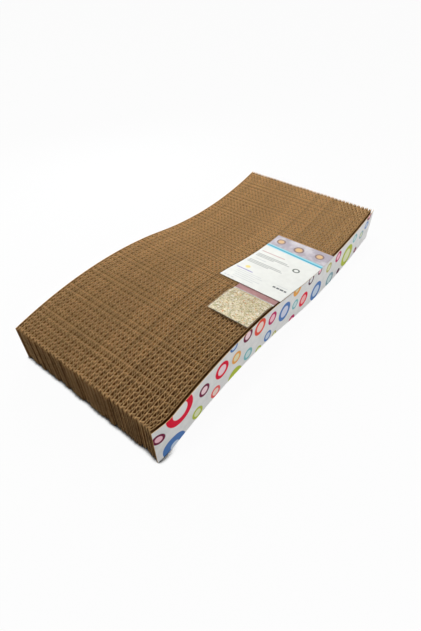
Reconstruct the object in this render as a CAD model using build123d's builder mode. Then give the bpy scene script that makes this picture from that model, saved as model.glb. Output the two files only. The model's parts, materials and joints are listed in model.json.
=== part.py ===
"""Wave-shaped cardboard cat scratcher.

Upright strips of double-wall board stand side by side and are glued into a block.
Every strip is cut to the same wave, so the block has a hump, a dip and a raised far end,
above and below.  A printed card faces each long side.  A label card is glued to the top
by its header band, and a sachet of catnip is tucked under the label's free end.

Frame: +X runs along the strips from the near end to the far end, +Y towards the left side,
+Z up.  The origin is on the floor, under the middle of the block.  Sizes are in millimetres.
"""

import math
import os

from build123d import *

os.makedirs("parts", exist_ok=True)

# Block
length = 440.0              # along the strips
width = 205.0               # across the strips, printed cards included
depth = 45.0                # upright depth of a strip
hump_radius = 478.0
dip_radius = 527.0
wave_drop = 18.0            # crest down to trough

# Boards, from the outside of the block inwards: the strips are pressed together to fill it
print_thickness = 0.44      # printed card over the side board
side_board_thickness = 2.95  # single-wall board
strip_count = 34            # double-wall board

# Label card
label_from_near_end = 191.0
label_length = 131.0
label_width = 81.0
label_thickness = 0.4
label_band = 33.0           # the header end that is glued down
crease_gap = 0.3

# Sachet
pouch_length = 49.0
pouch_width = 51.0
pouch_inset = 2.0           # from the block's right side
pouch_swell = 3.2           # height of the filled middle
seal_margin = 1.5
film_thickness = 0.2
sachet_header_length = 22.0
sachet_header_thickness = 0.3
sachet_tuck = 13.0          # how far the header reaches under the label

# Clearances
seat_gap = 0.3              # thin cards and films over the cut edges of the strips
flap_clearance = 0.5        # label over the sachet's header
fill_clearance = 0.1        # flakes inside the film

# Places along the block
near_x = -length / 2
far_x = length / 2
crest_x = near_x + math.sqrt(2 * hump_radius * wave_drop - wave_drop**2)
wave_run = math.sqrt(2 * (hump_radius + dip_radius) * wave_drop - wave_drop**2)
trough_x = crest_x + wave_run
turn_x = crest_x + wave_run * hump_radius / (hump_radius + dip_radius)

label_near_x = near_x + label_from_near_end
label_far_x = label_near_x + label_length
crease_x = label_far_x - label_band
sachet_far_x = label_near_x + sachet_tuck
pouch_far_x = sachet_far_x - sachet_header_length
pouch_near_x = pouch_far_x - pouch_length

# Places across the block
half_width = width / 2
boards_half_width = half_width - print_thickness
strips_half_width = boards_half_width - side_board_thickness
strip_thickness = 2 * strips_half_width / strip_count
label_left_y = label_width - half_width
pouch_left_y = pouch_inset + pouch_width - half_width


def wave_height(x):
    """Height of the wave over its trough: a hump arc that turns into a dip arc."""
    if x < turn_x:
        return wave_drop - hump_radius + math.sqrt(hump_radius**2 - (x - crest_x) ** 2)
    return dip_radius - math.sqrt(dip_radius**2 - (x - trough_x) ** 2)


def wave_outline(x_from, x_to, low, high, rise=0.0):
    """Edges of a piece that follows the wave, from low to high over it.

    The piece's near end is lifted by rise, which fades to nothing at its far end.
    """

    def point(x, level):
        fade = (x_to - x) / (x_to - x_from)
        return (x, wave_height(x) + level + rise * fade)

    stops = [x_from, x_to]
    if x_from < turn_x < x_to:
        stops.insert(1, turn_x)
    with BuildLine() as outline:
        for level in (low, high):
            for start, end in zip(stops, stops[1:]):
                ThreePointArc(point(start, level), point((start + end) / 2, level), point(end, level))
        for end in (x_from, x_to):
            Line(point(end, low), point(end, high))
    return outline.edges()


def upright_plane(left_y):
    """Plane along the block's length that faces right, through left_y."""
    return Plane.XZ.offset(-left_y)


def finish(piece, name):
    """Label one piece, write it and print its size."""
    piece.label = name
    export_step(piece, f"parts/{name}.step")
    size = piece.bounding_box().size
    print(f"{name}: {size.X:.2f} x {size.Y:.2f} x {size.Z:.2f} mm")


# Strips, side boards and printed cards: one wave profile, stacked across the block
board_outline = wave_outline(near_x, far_x, 0, depth)

for number in range(1, strip_count + 1):
    with BuildPart() as strip:
        with BuildSketch(upright_plane(strips_half_width - (number - 1) * strip_thickness)):
            make_face(board_outline)
        extrude(amount=strip_thickness)
    finish(strip.part, f"strip_{number:02d}")

for side, left_y in (("left", boards_half_width), ("right", -strips_half_width)):
    with BuildPart() as side_board:
        with BuildSketch(upright_plane(left_y)):
            make_face(board_outline)
        extrude(amount=side_board_thickness)
    finish(side_board.part, f"side_board_{side}")

for side, left_y in (("left", half_width), ("right", -boards_half_width)):
    with BuildPart() as printed_card:
        with BuildSketch(upright_plane(left_y)):
            make_face(board_outline)
        extrude(amount=print_thickness)
    finish(printed_card.part, f"printed_card_{side}")

# Label card: the header band is glued down, and the flap lifts from the crease
label_low = depth + seat_gap
label_high = label_low + label_thickness
flap_rise = sachet_header_thickness + flap_clearance

with BuildPart() as label_header:
    with BuildSketch(upright_plane(label_left_y)):
        make_face(wave_outline(crease_x + crease_gap, label_far_x, label_low, label_high))
    extrude(amount=label_width)
finish(label_header.part, "label_header")

with BuildPart() as label_flap:
    with BuildSketch(upright_plane(label_left_y)):
        make_face(wave_outline(label_near_x, crease_x, label_low, label_high, flap_rise))
    extrude(amount=label_width)
finish(label_flap.part, "label_flap")

# Sachet: two films welded round the edge, the flakes between them and a header strip
film_low = depth + seat_gap
weld_level = film_low + film_thickness
swell_level = weld_level + pouch_swell

with BuildPart() as back_film:
    with BuildSketch(upright_plane(pouch_left_y)):
        make_face(wave_outline(pouch_near_x, pouch_far_x, film_low, weld_level))
    extrude(amount=pouch_width)
finish(back_film.part, "sachet_back_film")

swell_near_x = pouch_near_x + seal_margin
swell_far_x = pouch_far_x - seal_margin
swell_left_y = pouch_left_y - seal_margin
swell_width = pouch_width - 2 * seal_margin

with BuildPart() as front_film:
    with BuildSketch(upright_plane(pouch_left_y)):
        make_face(wave_outline(pouch_near_x, pouch_far_x, weld_level, weld_level + film_thickness))
    extrude(amount=pouch_width)
    with BuildSketch(upright_plane(swell_left_y)):
        make_face(wave_outline(swell_near_x, swell_far_x, weld_level, swell_level))
    extrude(amount=swell_width)
    with BuildSketch(upright_plane(swell_left_y - film_thickness)):
        hollow = (swell_near_x + film_thickness, swell_far_x - film_thickness)
        make_face(wave_outline(*hollow, weld_level, swell_level - film_thickness))
    extrude(amount=swell_width - 2 * film_thickness, mode=Mode.SUBTRACT)
finish(front_film.part, "sachet_front_film")

fill_inset = film_thickness + fill_clearance
fill_low = weld_level + fill_clearance
fill_high = swell_level - fill_inset

with BuildPart() as catnip_flakes:
    with BuildSketch(upright_plane(swell_left_y - fill_inset)):
        make_face(wave_outline(swell_near_x + fill_inset, swell_far_x - fill_inset, fill_low, fill_high))
    extrude(amount=swell_width - 2 * fill_inset)
finish(catnip_flakes.part, "catnip_flakes")

with BuildPart() as sachet_header:
    with BuildSketch(upright_plane(pouch_left_y)):
        make_face(wave_outline(pouch_far_x, sachet_far_x, film_low, film_low + sachet_header_thickness))
    extrude(amount=pouch_width)
finish(sachet_header.part, "sachet_header")

# Lines that the moving pieces follow
crease_z = wave_height(crease_x) + label_low + label_thickness / 2
pull_slope = (sachet_far_x - crest_x) / math.sqrt(hump_radius**2 - (sachet_far_x - crest_x) ** 2)
print(f"label creases at x {crease_x:.2f}, z {crease_z:.2f} mm")
print(f"sachet pulls out at {math.degrees(math.atan(pull_slope)):.2f} degrees over the floor")
print(f"crest at x {crest_x:.2f} mm, trough at x {trough_x:.2f} mm, half width {half_width:.2f} mm")
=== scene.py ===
# %% [markdown]
# # A wave-shaped cardboard cat scratcher
# The real scratcher is a block of upright corrugated strips, glued side by side and cut to a wave,
# with a printed card on each long side.  A label card and a sachet of catnip lie on top.
# The engineering model gives every piece its place and its size.  This lesson gives each piece the
# shape and the finish that the eye sees, and leaves places and sizes alone.  Lengths are in metres.

# %% Load the engineering model
import json
import math
import random

import bpy
from mathutils import Matrix, Vector, noise

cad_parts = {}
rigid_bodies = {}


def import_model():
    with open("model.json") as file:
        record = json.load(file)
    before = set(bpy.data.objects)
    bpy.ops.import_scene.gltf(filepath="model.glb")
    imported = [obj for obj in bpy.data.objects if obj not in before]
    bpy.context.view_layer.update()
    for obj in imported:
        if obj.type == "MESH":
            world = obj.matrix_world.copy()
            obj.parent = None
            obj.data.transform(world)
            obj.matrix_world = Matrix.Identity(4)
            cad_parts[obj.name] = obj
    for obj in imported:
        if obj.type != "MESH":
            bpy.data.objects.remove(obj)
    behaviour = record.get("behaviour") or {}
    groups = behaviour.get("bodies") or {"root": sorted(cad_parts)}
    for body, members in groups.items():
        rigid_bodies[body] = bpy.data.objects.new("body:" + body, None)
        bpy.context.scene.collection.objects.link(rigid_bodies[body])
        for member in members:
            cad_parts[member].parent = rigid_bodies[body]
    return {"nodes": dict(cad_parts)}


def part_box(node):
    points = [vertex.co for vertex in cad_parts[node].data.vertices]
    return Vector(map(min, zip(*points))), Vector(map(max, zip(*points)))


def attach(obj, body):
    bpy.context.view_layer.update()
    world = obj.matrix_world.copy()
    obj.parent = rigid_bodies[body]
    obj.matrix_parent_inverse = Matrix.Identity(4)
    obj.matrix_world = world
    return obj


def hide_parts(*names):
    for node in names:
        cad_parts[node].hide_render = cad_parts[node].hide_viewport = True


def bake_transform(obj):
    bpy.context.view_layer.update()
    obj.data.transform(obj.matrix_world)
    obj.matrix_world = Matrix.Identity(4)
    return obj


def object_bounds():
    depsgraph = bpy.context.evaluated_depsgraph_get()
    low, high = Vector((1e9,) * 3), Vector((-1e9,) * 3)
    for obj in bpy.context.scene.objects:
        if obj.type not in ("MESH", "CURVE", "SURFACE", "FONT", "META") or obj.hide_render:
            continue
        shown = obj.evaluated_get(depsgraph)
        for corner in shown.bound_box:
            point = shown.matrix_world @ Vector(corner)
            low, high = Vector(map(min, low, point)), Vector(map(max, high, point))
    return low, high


scene = bpy.context.scene
for leftover in list(scene.objects):
    bpy.data.objects.remove(leftover)
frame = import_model()
model_low, model_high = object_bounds()

# %% [markdown]
# ## The wave
# Every board is cut to the same wave: a hump that turns smoothly into a dip, each a plain arc.
# Its two radii and its drop are the only numbers that the pieces below need, because the ends
# and the depth can be read off the model.  One formula then serves the boards, the label and
# the sachet, so they all lie on each other.

# %% The wave as a formula
HUMP_RADIUS = 0.478
DIP_RADIUS = 0.527
WAVE_DROP = 0.018

board_low, board_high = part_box("side_board_right")
near_x, far_x = board_low.x, board_high.x
board_depth = board_high.z - WAVE_DROP
half_width = model_high.y
crest_x = near_x + math.sqrt(2 * HUMP_RADIUS * WAVE_DROP - WAVE_DROP**2)
wave_run = math.sqrt(2 * (HUMP_RADIUS + DIP_RADIUS) * WAVE_DROP - WAVE_DROP**2)
trough_x = crest_x + wave_run
turn_x = crest_x + wave_run * HUMP_RADIUS / (HUMP_RADIUS + DIP_RADIUS)


def wave_height(x):
    """Height of the block's underside over the floor."""
    if x < turn_x:
        return WAVE_DROP - HUMP_RADIUS + math.sqrt(HUMP_RADIUS**2 - (x - crest_x) ** 2)
    return DIP_RADIUS - math.sqrt(DIP_RADIUS**2 - (x - trough_x) ** 2)


def top_height(x):
    """Height of the scratching surface over the floor."""
    return wave_height(x) + board_depth


print(f"crest at {crest_x:.4f}, trough at {trough_x:.4f}, board depth {board_depth:.4f}")

# %% [markdown]
# ## Helpers for node trees
# Shapes that follow a rule and finishes are both node trees in Blender, where every sum is a node
# of its own.  A small class lets the script write a sum as a sum: adding or multiplying its values
# adds the Math node.  The other helpers add a node, mix colours, take a vector apart, or start and
# use a group with named sockets.

# %% Values in a node tree
class Value:
    """A value inside a node tree.  Sums with it add Math nodes to that tree."""

    def __init__(self, socket):
        self.socket = socket
        self.tree = socket.id_data

    def __add__(self, other):
        return calc("ADD", self, other)

    def __sub__(self, other):
        return calc("SUBTRACT", self, other)

    def __rsub__(self, other):
        return calc("SUBTRACT", other, self)

    def __mul__(self, other):
        return calc("MULTIPLY", self, other)

    def __truediv__(self, other):
        return calc("DIVIDE", self, other)


def feed(socket, value):
    """Links a value to a socket, or types a plain one into it."""
    if isinstance(value, Value):
        value.tree.links.new(value.socket, socket)
    else:
        socket.default_value = value


def add(tree, kind, feeds=None, **options):
    """Adds a node, sets its options and feeds its sockets by name or by number.

    A kind without the word Node is one of the tree's own sort, shader or geometry.
    """
    made = tree.nodes.new(kind if "Node" in kind else tree.bl_idname.replace("Tree", kind))
    for option, value in options.items():
        setattr(made, option, value)
    for name, value in (feeds or {}).items():
        feed(made.inputs[name], value)
    return made


def get(tree, kind, feeds=None, output=0, **options):
    """Adds a node and gives one of its outputs."""
    return Value(add(tree, kind, feeds, **options).outputs[output])


def calc(operation, *values, kind="ShaderNodeMath"):
    """The result of one Math node."""
    tree = next(value.tree for value in values if isinstance(value, Value))
    return get(tree, kind, dict(enumerate(values)), operation=operation)


# %% Node helpers
FLOAT = "NodeSocketFloat"
INTEGER = "NodeSocketInt"
COLOR = "NodeSocketColor"
VECTOR = "NodeSocketVector"
GEOMETRY = "NodeSocketGeometry"
FINISH = "ShaderNodeTree"
SHAPE = "GeometryNodeTree"
VECTOR_MATH = "ShaderNodeVectorMath"


def xyz(tree, x=0.0, y=0.0, z=0.0):
    """A vector put together from three values."""
    return get(tree, "ShaderNodeCombineXYZ", {"X": x, "Y": y, "Z": z})


def parts_of(vector):
    """The three values of a vector, taken apart."""
    return [Value(part) for part in add(vector.tree, "ShaderNodeSeparateXYZ", {0: vector}).outputs]


def ramp(value, low, high, to_low=0.0, to_high=1.0):
    """A value that goes smoothly from to_low at low to to_high at high, and stays there."""
    feeds = {0: value, 1: low, 2: high, 3: to_low, 4: to_high}
    return get(value.tree, "ShaderNodeMapRange", feeds, interpolation_type="SMOOTHSTEP")


def mixed(share, first, second):
    """Two colours, mixed by a share of the second."""
    return get(share.tree, "ShaderNodeMix", {0: share, 6: first, 7: second}, 2, data_type="RGBA")


def speckle(place, scale, detail=2.0):
    """Noise from 0 to 1 over a place."""
    feeds = {"Vector": place, "Scale": scale, "Detail": detail}
    return get(place.tree, "ShaderNodeTexNoise", feeds, "Fac")


def stored(tree, name, output="Fac"):
    """A value that the mesh holds under a name, for a finish."""
    return get(tree, "Attribute", None, output, attribute_name=name)


def store(geometry, name, value, domain="POINT"):
    """Geometry that holds a value under a name."""
    feeds = {"Geometry": geometry, "Name": name, "Value": value}
    return get(geometry.tree, "StoreNamedAttribute", feeds, domain=domain)


def finished(geometry, finish):
    """Geometry with its instances made real and one material on it."""
    real = get(geometry.tree, "RealizeInstances", {"Geometry": geometry})
    return get(geometry.tree, "SetMaterial", {"Geometry": real, "Material": finish})


def wave_nodes(x):
    """The wave formula as nodes, in a shader or a geometry tree."""

    def arc(middle, radius):
        run = x - middle
        return calc("SQRT", radius**2 - run * run)

    hump = arc(crest_x, HUMP_RADIUS) + (WAVE_DROP - HUMP_RADIUS)
    dip = DIP_RADIUS - arc(trough_x, DIP_RADIUS)
    return get(x.tree, "ShaderNodeMix", {0: calc("LESS_THAN", x, turn_x), 2: dip, 3: hump})


# %% Node groups
def outputs_of(node):
    """A node's outputs by their names."""
    return {socket.name: Value(socket) for socket in node.outputs}


def sockets(kind, *labels):
    """Named sockets of one kind."""
    return [(label, kind) for label in labels]


def new_group(name, kind, inputs, outputs):
    """A node group with named sockets; gives the group, its inputs and its outputs."""
    tree = bpy.data.node_groups.new(name, kind)
    for direction, named in (("INPUT", inputs), ("OUTPUT", outputs)):
        for label, socket_kind in named:
            tree.interface.new_socket(label, in_out=direction, socket_type=socket_kind)
    return tree, outputs_of(tree.nodes.new("NodeGroupInput")), tree.nodes.new("NodeGroupOutput").inputs


def use(tree, group, feeds):
    """The outputs of a group that is used inside a tree of its own kind."""
    return outputs_of(add(tree, "Group", feeds, node_tree=group))


def tell(made):
    """Prints how many nodes a group or a material has."""
    print(made.name, "has", len(getattr(made, "node_tree", made).nodes), "nodes")


# %% [markdown]
# ## Helpers for pieces
# A tree that makes a shape is run on an empty object, and the result is kept as a plain mesh.
# Each finished piece then stands for the model's plain solid, and most of them ride on their body.

# %% Piece helpers
SHARP_ANGLE = math.radians(60)


def show(name, mesh):
    """A mesh as an object in the scene."""
    piece = bpy.data.objects.new(name, mesh)
    scene.collection.objects.link(piece)
    return piece


def grow(name, tree, values, base=None):
    """Runs a geometry tree with the given named inputs and keeps the result as a mesh object."""
    carrier = show(name + "_carrier", base or bpy.data.meshes.new(name + "_carrier"))
    modifier = carrier.modifiers.new("tree", "NODES")
    modifier.node_group = tree
    for item in tree.interface.items_tree:
        if item.name in values:
            modifier[item.identifier] = values[item.name]
    evaluated = carrier.evaluated_get(bpy.context.evaluated_depsgraph_get())
    mesh = bpy.data.meshes.new_from_object(evaluated)
    bpy.data.objects.remove(carrier)
    mesh.name = name
    mesh.shade_smooth()
    mesh.set_sharp_from_angle(angle=SHARP_ANGLE)
    return show(name, mesh)


def settle(piece, body, slot, *nodes):
    """Lets a piece ride on a body and hides the model's solids behind it; its slot is not used."""
    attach(piece, body)
    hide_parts(*nodes)


def triangles(*pieces):
    """How many triangles the pieces have."""
    return sum(len(face.vertices) - 2 for piece in pieces for face in piece.data.polygons)


def ripple(x, y, scale, size):
    """A soft unevenness of the given size, the same on every run."""
    return noise.noise(Vector((x, y, 0.0)) * scale) * size


def ink(red, green, blue):
    """A colour as a screen shows it, 0 to 255, turned into Blender's linear one."""
    linear = []
    for value in (red / 255, green / 255, blue / 255):
        linear.append(value / 12.92 if value < 0.04045 else ((value + 0.055) / 1.055) ** 2.4)
    return (*linear, 1.0)


# %% [markdown]
# ## Paper fibres
# Kraft board, printed card and label card are all paper: cloudy from one patch to the next, with
# fibres that lie mostly along the board and a few darker flecks.  A picture of paper would not
# follow the size of the piece, so one shader group makes the three effects from noise in real
# sizes, and each paper sets how strongly they show.

# %% Shader group for paper fibres
CLOUD_SCALE, CLOUD_DETAIL, CLOUD_SPAN = 120.0, 3.0, (0.3, 0.7)
FIBRE_SCALE, FIBRE_DETAIL = 900.0, 4.0
FIBRE_STRETCH = (0.25, 1.0, 1.0)
FLECK_SCALE, FLECK_SPAN = 420.0, (0.58, 0.72)

fibres, given, result = new_group(
    "paper_fibres",
    FINISH,
    sockets(VECTOR, "Place"),
    sockets(FLOAT, "Cloud", "Fleck", "Height"),
)
place = given["Place"]
along = calc("MULTIPLY", place, FIBRE_STRETCH, kind=VECTOR_MATH)
feed(result["Cloud"], ramp(speckle(place, CLOUD_SCALE, CLOUD_DETAIL), *CLOUD_SPAN))
feed(result["Fleck"], ramp(speckle(along, FLECK_SCALE), *FLECK_SPAN))
feed(result["Height"], speckle(along, FIBRE_SCALE, FIBRE_DETAIL))
tell(fibres)


# %% Start and end of a material
def new_material(name, roughness, gloss):
    """A material with its tree, its Principled shader and its place in object coordinates."""
    material = bpy.data.materials.new(name)
    material.use_nodes = True
    tree = material.node_tree
    shader = tree.nodes["Principled BSDF"]
    shader.inputs["Roughness"].default_value = roughness
    shader.inputs["Specular IOR Level"].default_value = gloss
    return material, tree, shader, get(tree, "TexCoord", output="Object")


def dress(shader, colour, height, strength, distance):
    """Feeds a colour into the shader, and a height as a bump."""
    feed(shader.inputs["Base Color"], colour)
    feeds = {"Height": height, "Strength": strength, "Distance": distance}
    feed(shader.inputs["Normal"], get(height.tree, "Bump", feeds, "Normal"))


# %% [markdown]
# ## Kraft board
# The strips are brown kraft paper.  Each board has a shade of its own.  Its cut edges are paler
# than its faces.  The rim just below the top is painted paler as well, as painted light where the
# flute walls are lit near the top, and faces that look towards the near end are painted pale for
# about a centimetre down, as painted light from the near side.  Flecks show in all of it.  The
# dark deeper in the flutes is not painted: it is the shade between real paper walls.

# %% Kraft board finish
KRAFT_DARK = ink(113, 79, 43)
KRAFT_LIGHT = ink(142, 105, 63)
KRAFT_FLECK = ink(98, 68, 36)
KRAFT_CUT = ink(246, 202, 144)
BOARD_SHADE_SPREAD = 0.1
FLECK_SHARE = 0.4
CUT_SHARE = 0.68
RIM_LIGHT_SHARE = 0.45
RIM_LIGHT_DEPTH = 0.0014
NEAR_LIGHT_SHARE = 1.15
NEAR_LIGHT_DEPTH = 0.012

kraft, tree, shader, place = new_material("kraft_board", roughness=0.9, gloss=0.1)
paper = use(tree, fibres, {"Place": place})
x, _, z = parts_of(place)
under_top = wave_nodes(x) + board_depth - z
# Painted light: faces that look towards the near end, and the rim under the top, are painted paler
near_light = ramp(under_top, NEAR_LIGHT_DEPTH, 0.0, 0.0, NEAR_LIGHT_SHARE) * stored(tree, "near_face_painted_light")
painted_light = calc("MAXIMUM", near_light, ramp(under_top, RIM_LIGHT_DEPTH, 0.0, 0.0, RIM_LIGHT_SHARE))
paleness = calc("MAXIMUM", painted_light, stored(tree, "cut_edge") * CUT_SHARE)
colour = mixed(paper["Cloud"], KRAFT_DARK, KRAFT_LIGHT)
colour = mixed(paleness, colour, KRAFT_CUT)
colour = mixed(paper["Fleck"] * FLECK_SHARE, colour, KRAFT_FLECK)
brightness = stored(tree, "board_shade") * BOARD_SHADE_SPREAD + 1.0
tinted = get(tree, "HueSaturation", {"Value": brightness, "Color": colour})
dress(shader, tinted, paper["Height"], strength=0.35, distance=0.0003)
tell(kraft)

# %% [markdown]
# ## Lying along the wave
# A board is first made straight and flat, with its middle at height zero.  A geometry group then
# sets it on the wave, trims and frays its upper edge, trims its foot, and presses the outermost
# boards in at the near right corner, more at the top than at the foot.  The group is built once
# and used by every board and card.

# %% Geometry group that sets a sheet on the wave
TOP_PRESS = 0.005
FOOT_PRESS = 0.0024
FOOT_REACH = 0.001
PRESS_RUN = 0.022
PRESS_REACH = 0.018
PRESS_FULL = 0.004
FRAY_SCALE = 260.0

seat, given, result = new_group(
    "set_on_wave",
    SHAPE,
    sockets(GEOMETRY, "Sheet") + sockets(FLOAT, "Fray", "Top Trim", "Foot Trim"),
    sockets(GEOMETRY, "Sheet"),
)
place = get(seat, "InputPosition")
x, y, z = parts_of(place)
# The ramp is half done at the block's end, so twice its height is a full press there
at_end = ramp(x, near_x + PRESS_RUN, near_x - PRESS_RUN, 0.0, 2.0)
at_corner = at_end * ramp(y, PRESS_REACH - half_width, PRESS_FULL - half_width)
on_top = ramp(z, -board_depth / 2, board_depth / 2)
on_foot = 1.0 - on_top
inward = at_corner * (on_top * (TOP_PRESS - FOOT_PRESS) + FOOT_PRESS)
reach = at_corner * on_foot * -FOOT_REACH
fray = (speckle(place, FRAY_SCALE) - 0.5) * given["Fray"]
trims = given["Foot Trim"] * on_foot + (fray - given["Top Trim"]) * on_top
lift = trims + (calc("MAXIMUM", 0.0, wave_nodes(x)) + board_depth / 2)
feeds = {"Geometry": given["Sheet"], "Offset": xyz(seat, reach, inward, lift)}
feed(result["Sheet"], get(seat, "SetPosition", feeds))
tell(seat)

# %% [markdown]
# ## One sheet of paper
# Corrugated board is a sandwich of flat liners and wavy mediums.  Each of them is one sheet on
# edge, so one group makes both: a line along the block is bent into a wave, and a thin tall
# rectangle is swept along it.  Sweeping keeps the paper's thickness true on the slopes, which
# moving the points of a grid would not.  The wave is a sine that leans a little, strays from its
# pitch and has its crests pressed flat, as they are where they are glued.  A liner is a sheet
# whose flute height is zero.  Faces are marked where the paper is cut, and faces that look towards
# the near end are marked for painted light.

# %% Geometry group for one sheet
FLUTE_CROWN = 0.5
FLUTE_SKEW = 0.3
FLUTE_STRAY = 0.3
STRAY_SCALE = 30.0
UP_FACING = 0.7
END_DEPTH = 0.00005
END_PALENESS = 1.2

sheet, given, result = new_group(
    "paper_sheet",
    SHAPE,
    sockets(FLOAT, "Near X", "Far X", "Middle Y", "Thickness", "Fray", "Top Trim", "Foot Trim")
    + sockets(FLOAT, "Flute Height", "Flute Pitch", "Flute Shift")
    + sockets(INTEGER, "Points"),
    sockets(GEOMETRY, "Sheet"),
)
ends = {"Start": xyz(sheet, given["Near X"]), "End": xyz(sheet, given["Far X"])}
path = get(sheet, "CurvePrimitiveLine", ends)
path = get(sheet, "ResampleCurve", {"Curve": path, "Count": given["Points"]})
x, _, _ = parts_of(get(sheet, "InputPosition"))
stray = speckle(xyz(sheet, x, given["Middle Y"]), STRAY_SCALE)
turns = x / given["Flute Pitch"] + given["Flute Shift"]
angle = stray * FLUTE_STRAY + turns * math.tau
skewed = calc("SINE", angle) * -FLUTE_SKEW + angle
crown = calc("TANH", calc("SINE", skewed) * FLUTE_CROWN)
half_flute = given["Flute Height"] / (2 * math.tanh(FLUTE_CROWN))
offset = xyz(sheet, 0.0, crown * half_flute + given["Middle Y"])
path = get(sheet, "SetPosition", {"Geometry": path, "Offset": offset})
path = get(sheet, "SetCurveNormal", {"Curve": path}, mode="Z_UP")
section = {"Width": given["Thickness"], "Height": board_depth}
edge = get(sheet, "CurvePrimitiveQuadrilateral", section)
sweep = {"Curve": path, "Profile Curve": edge, "Fill Caps": True}
swept = get(sheet, "CurveToMesh", sweep)
normal_x, _, normal_z = parts_of(get(sheet, "InputNormal"))
is_top = calc("GREATER_THAN", calc("ABSOLUTE", normal_z), UP_FACING)
is_near = calc("LESS_THAN", x, given["Near X"] + END_DEPTH)
is_far = calc("GREATER_THAN", x, given["Far X"] - END_DEPTH)
is_cut = calc("MAXIMUM", is_top, calc("MAXIMUM", is_near, is_far) * END_PALENESS)
marked = store(swept, "cut_edge", is_cut, "FACE")
# Faces towards the near end are marked to be painted paler, as painted light from the near side
marked = store(marked, "near_face_painted_light", calc("MAXIMUM", 0.0, normal_x * -1.0), "FACE")
trims = {label: given[label] for label in ("Fray", "Top Trim", "Foot Trim")}
feed(result["Sheet"], use(sheet, seat, {"Sheet": marked, **trims})["Sheet"])
tell(sheet)

# %% [markdown]
# ## Boards from sheets
# A strip is double-wall board: three liners with a tall flute and a short flute between them.
# The side boards are single-wall, with one liner inside and the printed card as the other.  Both
# are stacks of sheets, so one function writes their trees from a list of layers.  Stepping
# through the layers adds each sheet's thickness to its place, so the stack always fills the
# board.

# %% A tree for a stack of sheets
LINER = 0.00016
TALL_MEDIUM = 0.0002
SHORT_MEDIUM = 0.00014
TALL_PITCH = 0.00782
SHORT_PITCH = 0.00647
POINTS_PER_FLUTE = 16
LINER_POINTS = 111
FRAY = 0.0006
PASSED_ON = ("Near X", "Far X", "Flute Shift", "Top Trim", "Foot Trim")


def board_tree(name, layers, finish):
    """A geometry tree for board that is made of layers, from its left face to its right.

    A layer is (thickness, paper, flute pitch), and a pitch of zero is a flat liner.
    """
    tree, given, result = new_group(
        name,
        SHAPE,
        sockets(FLOAT, "Left Y", "Board Shade", *PASSED_ON),
        sockets(GEOMETRY, "Board"),
    )
    stack = add(tree, "JoinGeometry")
    depth_so_far = 0.0
    for thickness, paper, pitch in layers:
        feeds = {label: given[label] for label in PASSED_ON}
        feeds["Middle Y"] = given["Left Y"] - (depth_so_far + thickness / 2)
        feeds["Fray"] = FRAY
        feeds["Thickness"] = paper
        feeds["Flute Height"] = thickness - paper
        feeds["Flute Pitch"] = pitch or TALL_PITCH
        feeds["Points"] = round((far_x - near_x) / pitch * POINTS_PER_FLUTE) if pitch else LINER_POINTS
        feed(stack.inputs[0], use(tree, sheet, feeds)["Sheet"])
        depth_so_far += thickness
    shaded = store(Value(stack.outputs[0]), "board_shade", given["Board Shade"])
    feed(result["Board"], finished(shaded, finish))
    return tree


# %% [markdown]
# ## Strips
# The strips come off one roll, so the flutes of neighbours nearly line up, and drift slowly from
# one strip to the next.  They are cut and pressed by machine but not perfectly: their ends and
# their feet are a little uneven.  A seeded random generator and fixed noise give the drift, the
# slips and the shades, so that every run makes the same block.

# %% Make the strips
TALL_FLUTE_SHARE = 0.62
NEAR_SKEW = 0.0004
FAR_REACH = 0.0006
END_SLIP = 0.0022
FAR_SLIP = 0.0001
FAR_WANDER = 0.0009
FOOT_WANDER = 0.0022
WANDER_SCALE = 55.0
DRIFT_STEPS = (-0.02, 0.026)
STRIP_SEED = 34

strip_low, strip_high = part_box("strip_01")
strip_thickness = strip_high.y - strip_low.y
flute_room = strip_thickness - 3 * LINER
double_wall = board_tree(
    "double_wall_strip",
    [
        (LINER, LINER, 0.0),
        (flute_room * TALL_FLUTE_SHARE, TALL_MEDIUM, TALL_PITCH),
        (LINER, LINER, 0.0),
        (flute_room * (1 - TALL_FLUTE_SHARE), SHORT_MEDIUM, SHORT_PITCH),
        (LINER, LINER, 0.0),
    ],
    kraft,
)
chance = random.Random(STRIP_SEED)
drift = 0.0
strips = []
for node in sorted(name for name in frame["nodes"] if name.startswith("strip_")):
    low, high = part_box(node)
    drift += chance.uniform(*DRIFT_STEPS)
    skew = NEAR_SKEW * (half_width - high.y) / (2 * half_width)
    wander = ripple(high.y, 0.0, WANDER_SCALE, FAR_WANDER)
    values = {
        "Left Y": high.y,
        "Near X": low.x - skew + chance.uniform(0.0, END_SLIP),
        "Far X": high.x + FAR_REACH + wander - chance.uniform(0.0, FAR_SLIP),
        "Flute Shift": drift,
        "Board Shade": chance.uniform(-1.0, 1.0),
        "Foot Trim": abs(ripple(0.0, high.y, WANDER_SCALE, FOOT_WANDER)),
    }
    strip = grow("fluted_" + node, double_wall, values)
    settle(strip, "block", "corrugated_board", node)
    strips.append(strip)
print(len(strips), "strips,", triangles(*strips), "triangles")

# %% [markdown]
# ## Side boards
# Between the last strip and each printed card stands a single-wall board, open to the outside.
# The printed card closes it.  The right board is cut back a little at its top and near end, which
# leaves a dark slot along its card.  Both boards are also given the darkest board shade, as
# painted shade along the cards.

# %% Make the side boards
SIDE_TRIM = 0.005
SIDE_RECESS = 0.005
CARD_CLEARANCE = 0.0004

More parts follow.
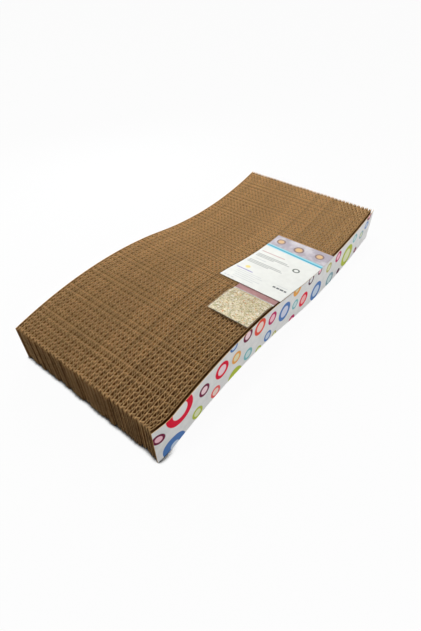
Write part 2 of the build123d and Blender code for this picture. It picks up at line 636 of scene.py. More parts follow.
side_thickness = board_high.y - board_low.y
side_flutes = side_thickness - LINER - CARD_CLEARANCE
side_layers = [(LINER, LINER, 0.0), (side_flutes, SHORT_MEDIUM, SHORT_PITCH)]
outside_right = board_tree("single_wall_right", side_layers, kraft)
outside_left = board_tree("single_wall_left", side_layers[::-1], kraft)
for side, tree in (("left", outside_left), ("right", outside_right)):
    node = "side_board_" + side
    low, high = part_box(node)
    values = {
        "Left Y": high.y - (CARD_CLEARANCE if side == "left" else 0.0),
        "Near X": low.x + (SIDE_RECESS if side == "right" else 0.0),
        "Far X": high.x + FAR_REACH,
        "Flute Shift": chance.random(),
        # Painted shade: both side boards take the darkest board shade, to darken the slots by the cards
        "Board Shade": -1.0,
        "Top Trim": SIDE_TRIM if side == "right" else 0.0,
    }
    board = grow("fluted_" + node, tree, values)
    settle(board, "block", "corrugated_board", node)
    print(board.name, triangles(board), "triangles")

# %% [markdown]
# ## Ring print
# The cards are white, printed with loose rings in bright inks, some cut off by the card's edges.
# A ring is a distance from a centre, so a shader group can draw one over whatever colour it is
# given, and a chain of such groups prints the whole card.  The table holds each ring's place
# along the block, its height over the card's lower edge, its radius and its line, in millimetres.

# %% Shader group for one ring
MM = 0.001
PRINT_BLUR = 0.0004

ring, given, result = new_group(
    "printed_ring",
    FINISH,
    sockets(COLOR, "Under", "Ink", "Fill")
    + sockets(FLOAT, "Along", "Up", "Centre Along", "Centre Up", "Radius", "Line"),
    sockets(COLOR, "Color"),
)
off_along = given["Along"] - given["Centre Along"]
off_up = given["Up"] - given["Centre Up"]
outside = calc("SQRT", off_up * off_up + off_along * off_along) - given["Radius"]
in_ring = ramp(outside, PRINT_BLUR, -PRINT_BLUR)
in_fill = ramp(outside + given["Line"], PRINT_BLUR, -PRINT_BLUR)
inked = mixed(in_ring, given["Under"], given["Ink"])
feed(result["Color"], mixed(in_fill, inked, given["Fill"]))
tell(ring)


def print_ring(tree, under, place, centre, radius, line, ring_ink, fill):
    """A colour with one ring over it; radius and line are in millimetres."""
    feeds = {"Under": under, "Ink": ring_ink, "Fill": fill, "Radius": radius * MM, "Line": line * MM}
    feeds["Along"], feeds["Up"] = place
    feeds["Centre Along"], feeds["Centre Up"] = centre
    return use(tree, ring, feeds)["Color"]


# %% The rings on the card
PLUM, RED, CORAL = ink(116, 26, 62), ink(232, 10, 54), ink(246, 104, 100)
LIME, TEAL, BLUE = ink(188, 202, 70), ink(130, 196, 200), ink(84, 128, 190)
ORANGE, SCARLET, MAGENTA = ink(244, 172, 84), ink(238, 84, 66), ink(196, 34, 100)
OLIVE, SLATE, NIGHT = ink(196, 190, 110), ink(140, 176, 186), ink(84, 48, 72)
ROSE, BLUSH, PEACH = ink(255, 202, 214), ink(255, 224, 230), ink(255, 226, 214)
MINT, SKY, LAVENDER = ink(216, 234, 234), ink(208, 222, 240), ink(220, 224, 242)
STRAW, LEAF, BARE = ink(244, 232, 190), ink(234, 238, 198), ink(243, 242, 240)
SALMON = ink(255, 192, 190)

RINGS = [
    (-215.6, 31.0, 6.6, 2.8, PLUM, ROSE),
    (-189.8, 40.0, 17.0, 7.5, RED, BARE),
    (-200.5, 0.8, 14.5, 9.0, BLUE, SKY),
    (-157.0, 28.7, 7.4, 2.9, PLUM, BLUSH),
    (-130.3, 29.0, 10.2, 4.0, RED, BLUSH),
    (-168.0, 7.5, 7.5, 2.9, LIME, LEAF),
    (-140.5, 6.8, 7.3, 2.8, CORAL, PEACH),
    (-108.5, -3.0, 12.3, 9.0, LIME, LEAF),
    (-112.0, 44.5, 6.2, 2.4, BLUE, SKY),
    (-107.0, 24.5, 7.5, 2.9, ORANGE, STRAW),
    (-86.0, 10.8, 7.6, 3.0, TEAL, MINT),
    (-88.5, 40.0, 7.8, 3.0, PLUM, BLUSH),
    (-66.2, 35.0, 10.2, 4.0, SCARLET, PEACH),
    (-65.7, -0.5, 6.0, 2.4, LIME, LEAF),
    (-42.0, 31.0, 8.0, 3.1, MAGENTA, ROSE),
    (-48.2, 8.5, 7.2, 2.8, BLUE, SKY),
    (-15.3, 24.5, 12.2, 4.8, BLUE, LAVENDER),
    (-33.5, 1.0, 4.6, 2.0, OLIVE, LEAF),
    (6.5, -1.0, 7.4, 4.0, MAGENTA, ROSE),
    (9.7, 22.2, 6.7, 2.6, TEAL, MINT),
    (9.7, 45.0, 9.0, 5.0, ORANGE, STRAW),
    (31.0, 18.7, 10.0, 3.9, RED, SALMON),
    (44.0, 41.7, 6.8, 2.7, NIGHT, BARE),
    (65.3, 12.7, 13.5, 5.3, BLUE, SKY),
    (66.5, 43.0, 5.0, 2.0, PLUM, ROSE),
    (94.0, 33.3, 7.0, 2.7, OLIVE, LEAF),
    (105.0, 8.2, 10.0, 3.9, SLATE, MINT),
    (132.0, 4.0, 4.6, 3.0, NIGHT, PLUM),
    (119.7, 35.5, 8.0, 3.1, MAGENTA, ROSE),
    (152.0, 17.5, 16.0, 6.2, LIME, LEAF),
    (183.0, 5.5, 4.6, 3.0, PLUM, ROSE),
    (169.0, 34.0, 6.2, 2.4, TEAL, MINT),
    (193.0, 24.0, 6.2, 2.4, SLATE, LEAF),
    (205.5, 31.0, 5.8, 2.3, BLUE, SKY),
    (207.5, 44.0, 6.5, 3.0, PLUM, ROSE),
]
print(len(RINGS), "rings on each card")

# %% [markdown]
# ## Card finish
# Both cards come from the same printed sheet, so seen from outside they read the same way.  That
# turns the left card's rings end for end.  The card itself is white coated paper with a faint
# cloud and fibres that only show in the light.  Its inner face and its edges are brown.

# %% Printed card finish
CARD_WHITE = ink(243, 242, 240)
CARD_CLOUD = ink(232, 232, 230)


def ring_card(name, end_for_end):
    """White card with the ring print, read from outside."""
    material, tree, shader, place = new_material(name, roughness=0.6, gloss=0.1)
    along, _, up = parts_of(place)
    paper = use(tree, fibres, {"Place": place})
    colour = mixed(paper["Cloud"], CARD_CLOUD, CARD_WHITE)
    for ring_x, ring_up, *look in RINGS:
        centre_x = -ring_x * MM if end_for_end else ring_x * MM
        centre = (centre_x, wave_height(centre_x) + ring_up * MM)
        colour = print_ring(tree, colour, (along, up), centre, *look)
    dress(shader, colour, paper["Height"], strength=0.12, distance=0.0002)
    return material


# %% Make the printed cards
CARD_POINTS = 331
CARD_SIZES = ("Near X", "Far X", "Middle Y", "Thickness")
OUTWARD_FACING = 0.5


def card_tree(name, finish):
    """A geometry tree for one flat card on the block's side, brown but for its outer face."""
    tree, given, result = new_group(name, SHAPE, sockets(FLOAT, *CARD_SIZES), sockets(GEOMETRY, "Card"))
    feeds = {label: given[label] for label in CARD_SIZES}
    feeds.update({"Flute Pitch": TALL_PITCH, "Points": CARD_POINTS})
    brown = finished(use(tree, sheet, feeds)["Sheet"], kraft)
    _, normal_y, _ = parts_of(get(tree, "InputNormal"))
    outward = calc("GREATER_THAN", normal_y * calc("SIGN", given["Middle Y"]), OUTWARD_FACING)
    feeds = {"Geometry": brown, "Selection": outward, "Material": finish}
    feed(result["Card"], get(tree, "SetMaterial", feeds))
    return tree


for side in ("left", "right"):
    node = "printed_card_" + side
    low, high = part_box(node)
    values = {
        "Near X": low.x - (NEAR_SKEW if side == "right" else 0.0),
        "Far X": high.x + FAR_REACH,
        "Middle Y": (low.y + high.y) / 2,
        "Thickness": high.y - low.y,
    }
    finish = ring_card("ring_card_" + side, side == "left")
    card = grow("ring_card_" + side, card_tree("faced_" + side, finish), values)
    settle(card, "block", "printed_card", node)
    print(card.name, triangles(card), "triangles")

# %% [markdown]
# ## Label print
# The label is a white card with a clouded lilac header band, a cyan stripe and blocks of small
# print.  At this scale small print is a row of soft grey bars, and bars are all that is drawn: each
# is a box around a centre line, which may slant.  The print reads the place that each point had when
# the label mesh was made, kept in an attribute.

# %% Shader group for one printed bar
bar, given, result = new_group(
    "printed_bar",
    FINISH,
    sockets(COLOR, "Under", "Ink")
    + sockets(FLOAT, "Along", "Across", "Middle Along", "Middle Across")
    + sockets(FLOAT, "Half Height", "Half Width", "Slant"),
    sockets(COLOR, "Color"),
)
off_across = given["Across"] - given["Middle Across"]
slanted = off_across * given["Slant"] + given["Middle Along"]
out_along = calc("ABSOLUTE", given["Along"] - slanted) - given["Half Height"]
out_across = calc("ABSOLUTE", off_across) - given["Half Width"]
covered = ramp(calc("MAXIMUM", out_along, out_across), PRINT_BLUR, -PRINT_BLUR)
feed(result["Color"], mixed(covered, given["Under"], given["Ink"]))
tell(bar)

# %% The print on the label
LABEL_WHITE = ink(222, 222, 216)
LABEL_CLOUD = ink(216, 216, 210)
LILAC, PALE_LILAC = ink(164, 156, 164), ink(198, 193, 196)
CYAN, DEEP_CYAN = ink(150, 202, 212), ink(66, 156, 182)
HEADING, TEXT, FAINT = ink(192, 160, 156), ink(150, 152, 148), ink(190, 192, 192)
VIOLET, CHARCOAL, BUTTER = ink(120, 108, 172), ink(72, 74, 78), ink(226, 208, 132)
TAN, HAZEL, FOREST = ink(206, 172, 128), ink(130, 108, 104), ink(74, 84, 74)

# Each row: height in millimetres, slant and ink, then every bar's middle along and across, and width
BARS = [
    (32.0, 0.0, LILAC, [(90.0, -61.0, 90.0)]),
    (6.4, 0.045, CYAN, [(72.6, -61.0, 90.0)]),
    (2.6, 0.06, DEEP_CYAN, [(72.0, -61.0, 90.0)]),
    (1.7, 0.0, HEADING, [(56.0, -42.0, 33.0)]),
    (1.3, 0.0, TEXT, [(47.5, -46.0, 42.0), (44.6, -48.0, 46.0), (41.7, -38.0, 26.0)]),
    (1.2, 0.0, FAINT, [(34.5, -37.0, 15.0)]),
    (1.3, 0.0, TEXT, [(28.0, -47.0, 44.0), (25.1, -48.5, 47.0), (22.2, -40.0, 30.0)]),
    (1.5, 0.0, VIOLET, [(0.8, -36.0, 22.0)]),
    (0.9, 0.0, FAINT, [(-4.0, -46.0, 32.0), (-8.0, -48.0, 36.0), (-12.0, -44.0, 28.0)]),
    (0.9, 0.0, FAINT, [(-16.0, -50.0, 34.0), (-20.0, -47.0, 28.0), (-2.5, -89.0, 14.0)]),
    (3.0, 0.0, CHARCOAL, [(-8.5, -82.2, 3.4), (-8.5, -86.8, 3.6), (-8.5, -91.6, 4.4), (-8.5, -96.2, 2.8)]),
    (1.6, 0.0, FAINT, [(-25.0, -26.5, 2.6), (-25.0, -31.0, 3.2), (-25.0, -36.0, 4.0)]),
]
BAND_EDGE = 0.0755
BAND_EDGE_BLUR = 0.001
BAND_CLOUD_SCALE, BAND_CLOUD_SPAN = 75.0, (0.42, 0.68)
# Each spot: along and across, radius and line in millimetres, ink and fill
SPOTS = [
    (90.0, -33.0, 6.0, 2.0, HAZEL, TAN),
    (87.0, -61.0, 7.0, 2.4, HAZEL, TAN),
    (90.0, -89.0, 6.0, 2.0, HAZEL, TAN),
    (9.0, -35.0, 3.2, 3.2, BUTTER, BUTTER),
    (42.5, -82.0, 4.6, 1.8, FOREST, LABEL_WHITE),
]
print(sum(len(row[-1]) for row in BARS), "bars and", len(SPOTS), "spots on the label")


# %% Label finish
def label_card(name, printed):
    """White label card, with or without the print."""
    material, tree, shader, _ = new_material(name, roughness=0.5, gloss=0.3)
    place = stored(tree, "rest_place", "Vector")
    along, across, _ = parts_of(place)
    paper = use(tree, fibres, {"Place": place})
    colour = mixed(paper["Cloud"], LABEL_CLOUD, LABEL_WHITE)
    for height, slant, bar_ink, bars in BARS if printed else []:
        for middle, centre, width in bars:
            feeds = {"Under": colour, "Along": along, "Across": across, "Ink": bar_ink, "Slant": slant}
            feeds.update({"Middle Along": middle * MM, "Middle Across": centre * MM})
            feeds.update({"Half Height": height * MM / 2, "Half Width": width * MM / 2})
            colour = use(tree, bar, feeds)["Color"]
    if printed:
        clouds = ramp(speckle(place, BAND_CLOUD_SCALE), *BAND_CLOUD_SPAN)
        in_band = ramp(along, BAND_EDGE - BAND_EDGE_BLUR, BAND_EDGE + BAND_EDGE_BLUR)
        colour = mixed(in_band * clouds, colour, PALE_LILAC)
    for spot_along, spot_across, *look in SPOTS if printed else []:
        centre = (spot_along * MM, spot_across * MM)
        colour = print_ring(tree, colour, (along, across), centre, *look)
    dress(shader, colour, paper["Height"], strength=0.08, distance=0.0002)
    return material


# %% [markdown]
# ## Label card
# The header band is glued down and the rest of the label is a flap that lifts from a crease.  On
# the real thing that is one card, so it is one mesh here: a grid laid on the wave, a little
# lifted towards its near end where the sachet's header lies under it, and given its thickness.

# %% A closed slab between two height formulas
def stations(low, high, count):
    """Evenly spaced values from low to high."""
    return [low + (high - low) * step / (count - 1) for step in range(count)]


def slab(name, low, high, counts, under, over):
    """A closed mesh over a grid, between two heights that depend on the place.

    Faces on top come first, then the ones below, then the rim.
    """
    columns, rows = counts
    xs, ys = stations(low.x, high.x, columns), stations(low.y, high.y, rows)
    points = [(x, y, height(x, y)) for height in (under, over) for x in xs for y in ys]

    def at(layer, column, row):
        return (layer * columns + column) * rows + row

    cells = [(column, row) for column in range(columns - 1) for row in range(rows - 1)]
    ring_of_cell = [(0, 0), (1, 0), (1, 1), (0, 1)]
    top = [[at(1, c + i, r + j) for i, j in ring_of_cell] for c, r in cells]
    bottom = [[at(0, c + i, r + j) for i, j in reversed(ring_of_cell)] for c, r in cells]
    border = [(column, 0) for column in range(columns - 1)]
    border += [(columns - 1, row) for row in range(rows - 1)]
    border += [(column, rows - 1) for column in range(columns - 1, 0, -1)]
    border += [(0, row) for row in range(rows - 1, 0, -1)]
    rim = []
    for start, end in zip(border, border[1:] + border[:1]):
        rim.append([at(0, *start), at(0, *end), at(1, *end), at(1, *start)])
    mesh = bpy.data.meshes.new(name)
    mesh.from_pydata(points, [], top + bottom + rim)
    mesh.shade_smooth()
    mesh.set_sharp_from_angle(angle=SHARP_ANGLE)
    return mesh


# %% Make the label
LABEL_COLUMNS = 88
LABEL_ROWS = 28
LABEL_THICKNESS = 0.0004
LABEL_RIPPLE = 0.0002
RIPPLE_SCALE = 30.0

header_low, header_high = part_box("label_header")
flap_low, flap_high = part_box("label_flap")
crease_x = flap_high.x
seat_gap = header_low.z - board_depth
flap_rise = flap_high.z - top_height(flap_low.x) - seat_gap - LABEL_THICKNESS


def label_under(x, y):
    """Height of the label's underside: glued down at the header, lifted at its free end."""
    freedom = max(0.0, (crease_x - x) / (crease_x - flap_low.x))
    wander = (ripple(x, y, RIPPLE_SCALE, LABEL_RIPPLE) + LABEL_RIPPLE) * freedom
    return top_height(x) + seat_gap + flap_rise * freedom + wander


def label_over(x, y):
    """Height of the label's printed face."""
    return label_under(x, y) + LABEL_THICKNESS


label_high = Vector((header_high.x, flap_high.y, flap_high.z))
label_mesh = slab("label", flap_low, label_high, (LABEL_COLUMNS, LABEL_ROWS), label_under, label_over)
rest_place = label_mesh.attributes.new("rest_place", "FLOAT_VECTOR", "POINT")
for point, kept in zip(label_mesh.vertices, rest_place.data):
    kept.vector = point.co
label_mesh.materials.append(label_card("label_print", True))
label_mesh.materials.append(label_card("label_plain", False))
top_faces = (LABEL_COLUMNS - 1) * (LABEL_ROWS - 1)
for face in label_mesh.polygons:
    face.material_index = 0 if face.index < top_faces else 1
label = show("label_card_and_flap", label_mesh)
crease_z = label_over(crease_x, 0.0)
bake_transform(label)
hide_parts("label_header", "label_flap")
print(f"label {triangles(label)} triangles, free end lifted {flap_rise * 1000:.2f} mm")

# %% [markdown]
# ## Sachet film
# The sachet is a small bag of clear film, welded round its edge and filled with dried catnip, so
# it is a low pillow.  The filling pushes both films out, which lifts the weld off the block.  The
# film is drawn taut over the filling and puckers along the welds, and a sealed band at its far end
# is milky.  Two height formulas give the shape in one closed mesh, and leave the bag in the space
# that the model keeps for it.

# %% Clear film finish
SEAL = 0.0034
SEAL_BLUR = 0.0006
SEAL_ALPHA = 0.7
HAZE_SCALE, HAZE_DETAIL = 160.0, 3.0
HAZE_SPAN, HAZE_ALPHA = (0.35, 0.75), (0.05, 0.17)
CRINKLE_SCALE = 420.0
FILM_WHITE = ink(246, 246, 240)

bag_low, bag_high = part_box("sachet_front_film")
film, tree, shader, place = new_material("clear_film", roughness=0.24, gloss=0.4)
clear = ramp(speckle(place, HAZE_SCALE, HAZE_DETAIL), *HAZE_SPAN, *HAZE_ALPHA)
x, _, _ = parts_of(place)
sealed = ramp(x, bag_high.x - SEAL, bag_high.x - SEAL + SEAL_BLUR, 0.0, SEAL_ALPHA)
feed(shader.inputs["Alpha"], calc("MAXIMUM", clear, sealed))
dress(shader, FILM_WHITE, speckle(place, CRINKLE_SCALE), strength=0.5, distance=0.0004)
tell(film)

# %% Make the film bag
FILM_CELLS = 72
WELD = 0.0004
WELD_LIFT = 0.0026
LIFT_RUN = 0.012
FILM_THICKNESS = 0.0002
SWELL = 0.003
TAUTNESS = 12
PUCKERS = 0.00022
PUCKER_SCALE = 330.0


def bag_share(x, y):
    """How far the filling lifts the film: 0 on the weld, 1 over the middle."""
    share = 1.0
    for value, low, high in ((x, bag_low.x, bag_high.x), (y, bag_low.y, bag_high.y)):
        half = (high - low) / 2
        off = min(1.0, abs(value - (low + high) / 2) / (half - WELD))
        share *= 1 - off**TAUTNESS
    return share


def bag_under(x, y):
    """Height of the back film: on the block in the middle, lifted at the welds but for the far one."""
    free = min(1.0, (bag_high.x - x) / LIFT_RUN)
    return top_height(x) + seat_gap + WELD_LIFT * (1 - bag_share(x, y)) * free


def bag_over(x, y):
    """Height of the front film, with puckers where it runs into the weld."""
    share = bag_share(x, y)
    edge = 4 * share * (1 - share)
    pucker = ripple(x, y, PUCKER_SCALE, PUCKERS) * edge
    lift = SWELL * share + max(0.0, PUCKERS * edge + pucker)
    return bag_under(x, y) + 2 * FILM_THICKNESS + lift


bag_mesh = slab("film_bag", bag_low, bag_high, (FILM_CELLS, FILM_CELLS), bag_under, bag_over)
bag_mesh.materials.append(film)
bag = show("sachet_film_bag", bag_mesh)
settle(bag, "sachet", "clear_film", "sachet_back_film", "sachet_front_film")
print(bag.name, triangles(bag), "triangles")

# %% [markdown]
# ## Catnip
# The filling is dried leaf: pale flakes, crumbs and bits of stem, all colours between straw and
# green with a few darker pieces, and browner towards the header.  A bed under the film gives the
# mass, and Geometry Nodes scatter the loose pieces over it and hold them inside the film.  Each
# piece keeps a random number of its own, which picks its colour.

# %% Catnip finish
FLAKE_COLOURS = [
    (0.0, ink(226, 212, 176)),
    (0.18, ink(244, 236, 212)),
    (0.36, ink(206, 194, 152)),
    (0.54, ink(184, 178, 136)),
    (0.66, ink(250, 244, 228)),
    (0.76, ink(170, 166, 124)),
    (0.86, ink(172, 138, 98)),
    (0.93, ink(228, 160, 112)),
    (0.965, ink(142, 152, 114)),
]
SETTLED, SETTLED_SHARE = ink(150, 130, 80), 0.28
VEIN, VEIN_SCALE, VEIN_DETAIL = ink(170, 152, 108), 900.0, 3.0
VEIN_SPAN, VEIN_SHARE = (0.35, 0.7), 0.35

catnip, tree, shader, place = new_material("dried_catnip", roughness=0.85, gloss=0.2)
palette = add(tree, "ValToRGB", {"Fac": stored(tree, "tint")})
palette.color_ramp.interpolation = "CONSTANT"
while len(palette.color_ramp.elements) < len(FLAKE_COLOURS):
    palette.color_ramp.elements.new(1.0)
for stop, (share, colour) in zip(palette.color_ramp.elements, FLAKE_COLOURS):
    stop.position = share
    stop.color = colour
vein = speckle(place, VEIN_SCALE, VEIN_DETAIL)
colour = mixed(ramp(vein, *VEIN_SPAN, 0.0, VEIN_SHARE), Value(palette.outputs["Color"]), VEIN)
x, _, _ = parts_of(place)
settled = ramp(x, bag_low.x, bag_high.x, 0.0, SETTLED_SHARE)
dress(shader, mixed(settled, colour, SETTLED), vein, strength=0.4, distance=0.0002)
print(catnip.name, "has", len(FLAKE_COLOURS), "flake colours")

# %% Tree that scatters the flakes
FLAKE_DENSITY = 900000.0
FLAKE_SIZE = 0.00125
STEM_RADIUS = 0.00022
STEM_LENGTH = 0.0032
STEM_SIDES = 5
FLAKE_SHAPES = ((1.3, 0.8, 0.16), (0.9, 0.7, 0.22), (1.0, 0.5, 0.2), (0.6, 0.55, 0.4))
FLAKE_SCALES = (0.5, 1.25)
TUMBLE = Vector((0.5, 0.5, math.pi))
BED_FACING = 0.2
RANDOM_KINDS = ("FLOAT_VECTOR", "FLOAT", "INT")

scatter, scatter_in, result = new_group(
    "catnip_scatter",
    SHAPE,
    sockets(GEOMETRY, "Bed")
    + sockets(FLOAT, "Density")
    + sockets(INTEGER, "Seed")
    + sockets(VECTOR, "Low", "High"),
    sockets(GEOMETRY, "Catnip"),
)


def draw(kind, low, high, salt):
    """A random value for each point, between low and high."""
    output = RANDOM_KINDS.index(kind)
    feeds = {2 * output: low, 2 * output + 1: high, "Seed": scatter_in["Seed"] + salt}
    return get(scatter, "FunctionNodeRandomValue", feeds, output, data_type=kind)


def crumb(shape):
    """A ball with few faces, pressed to a shape."""
    ball = get(scatter, "MeshIcoSphere", {"Radius": FLAKE_SIZE, "Subdivisions": 1})
    return get(scatter, "Transform", {"Geometry": ball, "Scale": shape})


stem_size = {"Radius Top": STEM_RADIUS / 2, "Radius Bottom": STEM_RADIUS, "Depth": STEM_LENGTH}
stem = get(scatter, "MeshCone", {"Vertices": STEM_SIDES, **stem_size})
lay = {"Geometry": stem, "Rotation": (0.0, math.pi / 2, 0.0)}
kinds = add(scatter, "JoinGeometry")
for piece in [crumb(shape) for shape in FLAKE_SHAPES] + [get(scatter, "Transform", lay)]:
    feed(kinds.inputs[0], get(scatter, "GeometryToInstance", {0: piece}))
_, _, normal_z = parts_of(get(scatter, "InputNormal"))
sow = {
    "Mesh": scatter_in["Bed"],
    "Selection": calc("GREATER_THAN", normal_z, BED_FACING),
    "Density": scatter_in["Density"],
    "Seed": scatter_in["Seed"],
}
tumble = draw("FLOAT_VECTOR", tuple(-TUMBLE), tuple(TUMBLE), 1)
strew = {
    "Points": get(scatter, "DistributePointsOnFaces", sow, "Points"),
    "Instance": Value(kinds.outputs[0]),
    "Pick Instance": True,
    "Instance Index": draw("INT", 0, len(FLAKE_SHAPES), 2),
    "Rotation": get(scatter, "FunctionNodeEulerToRotation", {0: tumble}),
    "Scale": draw("FLOAT", *FLAKE_SCALES, 3),
}
flakes = get(scatter, "InstanceOnPoints", strew)
pile = add(scatter, "JoinGeometry")
feed(pile.inputs[0], scatter_in["Bed"])
feed(pile.inputs[0], store(flakes, "tint", draw("FLOAT", 0.0, 1.0, 4), "INSTANCE"))
real = get(scatter, "RealizeInstances", {"Geometry": Value(pile.outputs[0])})
place = get(scatter, "InputPosition")
above = calc("MAXIMUM", place, scatter_in["Low"], kind=VECTOR_MATH)
inside = calc("MINIMUM", above, scatter_in["High"], kind=VECTOR_MATH)
held = get(scatter, "SetPosition", {"Geometry": real, "Position": inside})
painted = get(scatter, "SetMaterial", {"Geometry": held, "Material": catnip})
feed(result["Catnip"], painted)
tell(scatter)

# %% Make the catnip
BED_CELLS = 40
BED_INSET = 0.0008
BED_SWELL = 0.0022
BED_LUMP = 0.0004
LUMP_SCALE = 240.0
FLAKE_SEED = 7
OVER_ALL = 1.0

bed_low = bag_low + Vector((BED_INSET, BED_INSET, 0.0))
bed_high = bag_high - Vector((SEAL, BED_INSET, 0.0))


def bed_under(x, y):
    """Height of the bed's underside, on the back film."""
    return bag_under(x, y) + FILM_THICKNESS


def bed_over(x, y):
    """Height of the lumpy bed, under the front film."""
    share = bag_share(x, y)
    return bed_under(x, y) + BED_SWELL * share + abs(ripple(x, y, LUMP_SCALE, BED_LUMP)) * share


bed_mesh = slab("catnip_bed", bed_low, bed_high, (BED_CELLS, BED_CELLS), bed_under, bed_over)
values = {"Density": FLAKE_DENSITY, "Seed": FLAKE_SEED, "Low": tuple(bed_low)}
values["High"] = (bed_high.x, bed_high.y, OVER_ALL)
filling = grow("catnip_filling", scatter, values, bed_mesh)
settle(filling, "sachet", "dried_catnip", "catnip_flakes")
print(filling.name, triangles(filling), "triangles")

# %% [markdown]
# ## Sachet header
# A mauve strip closes the bag and is tucked under the label.  Fine ridges are pressed across it.
# They are a cosine on the strip's height, so they are real geometry and catch the light.

# %% Header strip finish
MAUVE_DARK, MAUVE_LIGHT = ink(148, 108, 107), ink(166, 126, 123)
mauve, tree, shader, place = new_material("mauve_strip", roughness=0.5, gloss=0.3)
paper = use(tree, fibres, {"Place": place})
colour = mixed(paper["Cloud"], MAUVE_DARK, MAUVE_LIGHT)
dress(shader, colour, paper["Height"], strength=0.15, distance=0.0002)
tell(mauve)

# %% Make the header strip
STRIP_THICKNESS = 0.0003
RIDGE_PITCH = 0.0016
RIDGE_HEIGHT = 0.00012
STRIP_COLUMNS = 113
STRIP_ROWS = 13

tab_low, tab_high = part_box("sachet_header")


def tab_under(x, y):
    """Height of the strip's underside, on the block."""
    return top_height(x) + seat_gap


def tab_over(x, y):
    """Height of the strip's upper face, with its pressed ridges."""
    ridge = (1 + math.cos((x - tab_low.x) / RIDGE_PITCH * math.tau)) / 2
    return tab_under(x, y) + STRIP_THICKNESS - RIDGE_HEIGHT * ridge


tab_mesh = slab("header_strip", tab_low, tab_high, (STRIP_COLUMNS, STRIP_ROWS), tab_under, tab_over)
tab_mesh.materials.append(mauve)
tab = show("sachet_header_strip", tab_mesh)
settle(tab, "sachet", "header_strip", "sachet_header")
print(tab.name, triangles(tab), "triangles")

# %% [markdown]
# ## Floor and light
# The scratcher stands on a plain white floor.  A camera ray that meets the floor sees it mostly as
# bright as the background, so that the floor and the background are one white, and a soft shadow
# stays under the block.  Close to the near end, where little light gets in, the floor's colour is
# painted dark and loses its glow: a painted contact shadow, placed by an ambient occlusion node and
# by the distance from the near end.  The light is a pale room, a lamp high on the near left, a small
# one low over the far left side and a weak one from the right.

# %% Floor
WHITE = (1.0, 1.0, 1.0, 1.0)
FLOOR_HALF = 6.0
FLOOR_GLOW_SHARE = 0.96
CONTACT_REACH = 0.008
CONTACT_DARK, CONTACT_OPEN = 0.6, 0.84
CONTACT_FULL, CONTACT_END = 0.012, 0.032
FLOOR_GREY, PAINTED_SHADOW_GREY = ink(185, 185, 185), ink(24, 22, 20)


def sees_room(tree):
    """1 for the rays that show the room itself: from the camera, a mirror or glass."""
    ray = outputs_of(add(tree, "LightPath"))
    mirrored = calc("MAXIMUM", ray["Is Glossy Ray"], ray["Is Transmission Ray"])
    return calc("MAXIMUM", ray["Is Camera Ray"], mirrored)


floor_mesh = bpy.data.meshes.new("floor")
corners = [(-1, -1, 0), (1, -1, 0), (1, 1, 0), (-1, 1, 0)]
floor_mesh.from_pydata([Vector(corner) * FLOOR_HALF for corner in corners], [], [(0, 1, 2, 3)])
floor_finish, tree, shader, place = new_material("white_floor", roughness=0.9, gloss=0.5)
x, _, _ = parts_of(place)
past_end = ramp(x, near_x + CONTACT_FULL, near_x + CONTACT_END)
openness = get(tree, "AmbientOcclusion", {"Distance": CONTACT_REACH}, "AO")
# Painted shadow: near the near end, where ambient occlusion is low, the floor is painted dark
unshadowed = calc("MAXIMUM", past_end, ramp(openness, CONTACT_DARK, CONTACT_OPEN))
feed(shader.inputs["Base Color"], mixed(unshadowed, PAINTED_SHADOW_GREY, FLOOR_GREY))
glow = get(tree, "Emission", {"Color": WHITE, "Strength": 1.0})
share = sees_room(tree) * (unshadowed * FLOOR_GLOW_SHARE)
both = get(tree, "MixShader", {0: share, 1: Value(shader.outputs[0]), 2: glow})
feed(tree.nodes["Material Output"].inputs["Surface"], both)
floor_mesh.materials.append(floor_finish)
show("floor", floor_mesh)
print("floor", 2 * FLOOR_HALF, "m wide")

# %% Room light and lamps
ROOM_STRENGTH = 0.12
LAMPS = [
    ("key", (-1.2, 0.6, 2.7), 0.6, 56.0, (1.0, 1.0, 1.0)),
    ("far", (0.2, 0.42, 0.36), 0.3, 3.2, (0.94, 0.97, 1.0)),
    ("fill", (0.25, -1.1, 0.55), 0.6, 5.8, (1.0, 1.0, 1.0)),
]
LAMP_AIM = Vector((0.0, 0.0, 0.03))

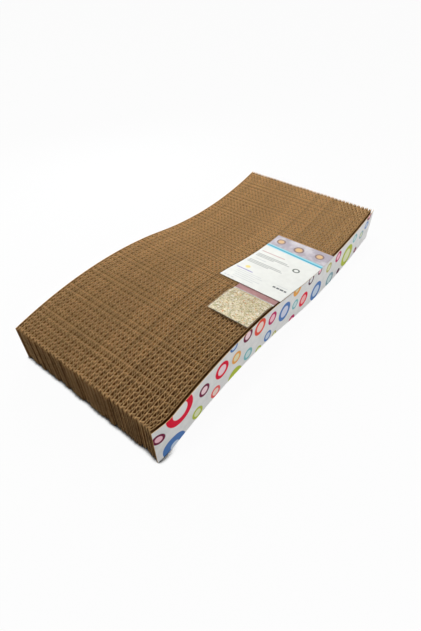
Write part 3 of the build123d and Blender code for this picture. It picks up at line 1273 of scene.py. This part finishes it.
room = bpy.data.worlds.new("pale_room")
room.use_nodes = True
background = room.node_tree.nodes["Background"]
feed(background.inputs["Color"], WHITE)
strength = sees_room(room.node_tree) * (1.0 - ROOM_STRENGTH) + ROOM_STRENGTH
feed(background.inputs["Strength"], strength)
scene.world = room
for name, spot, size, power, colour in LAMPS:
    lamp = bpy.data.lights.new(name, "AREA")
    lamp.size = size
    lamp.energy = power
    lamp.color = colour
    holder = bpy.data.objects.new(name, lamp)
    holder.location = spot
    holder.rotation_euler = (LAMP_AIM - Vector(spot)).to_track_quat("-Z", "Y").to_euler()
    scene.collection.objects.link(holder)
print(len(LAMPS), "lamps")

# %% [markdown]
# ## Camera
# The photographer stood near the right corner of the near end and looked down at the block
# through a wide lens.  The camera circles a point on the block by two angles and a distance, and
# is rolled by under a degree.

# %% Camera
CAMERA_AIM = Vector((-0.0597, -0.0319, 0.0226))
CAMERA_DISTANCE = 0.47809
CAMERA_AZIMUTH = math.radians(-51.012)
CAMERA_ELEVATION = math.radians(43.381)
CAMERA_ROLL = math.radians(-0.673)
CAMERA_LENS = 23.54
CAMERA_CLIP = 0.01

level = math.cos(CAMERA_ELEVATION)
back_x = math.sin(CAMERA_AZIMUTH) * level
back_y = -math.cos(CAMERA_AZIMUTH) * level
back = Vector((back_x, back_y, math.sin(CAMERA_ELEVATION)))
right = (-back).cross(Vector((0.0, 0.0, 1.0))).normalized()
up = right.cross(-back)
rolled_right = math.cos(CAMERA_ROLL) * right + math.sin(CAMERA_ROLL) * up
rolled_up = math.cos(CAMERA_ROLL) * up - math.sin(CAMERA_ROLL) * right
turn = Matrix((rolled_right, rolled_up, back)).transposed().to_4x4()
camera = bpy.data.objects.new("camera", bpy.data.cameras.new("camera"))
camera.data.lens = CAMERA_LENS
camera.data.clip_start = CAMERA_CLIP
camera.matrix_world = Matrix.Translation(CAMERA_AIM + back * CAMERA_DISTANCE) @ turn
scene.collection.objects.link(camera)
scene.camera = camera
scene.view_settings.view_transform = "Standard"
print("camera with a lens of", CAMERA_LENS, "mm")
